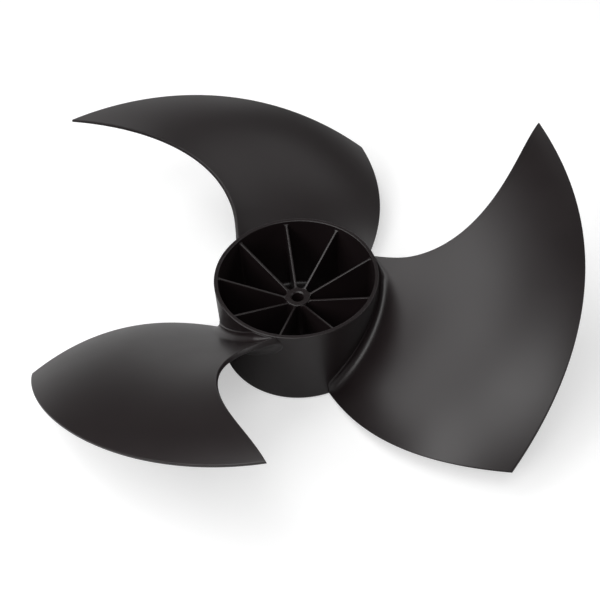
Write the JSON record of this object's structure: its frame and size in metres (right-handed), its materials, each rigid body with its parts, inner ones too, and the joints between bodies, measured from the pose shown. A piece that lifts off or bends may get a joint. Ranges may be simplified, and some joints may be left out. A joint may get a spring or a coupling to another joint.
{
  "type": "axial fan propeller",
  "caption": "One-piece moulded axial fan for a heat pump: sickle-shaped blades, raised at the leading edge, on an open ribbed cup hub with a bored boss.",
  "frame": {"origin": "centre of the hub's closed face, on the shaft's axis, where the fan rests", "axes": "+Z along the shaft from the closed face to the open, motor side of the hub. Seen from +Z the fan turns counter-clockwise. +X points to the right and +Y away from the camera in the picture, and the first blade's leading edge leaves the hub at 132 degrees from +X"},
  "size_m": [0.4554, 0.4585, 0.1496],
  "materials": {
    "fan_plastic": "satin charcoal black, moulded in one shot of glass-filled plastic with a fine even grain"
  },
  "bodies": {
    "root": {"fan": "fan_plastic"}
  },
  "joints": []
}
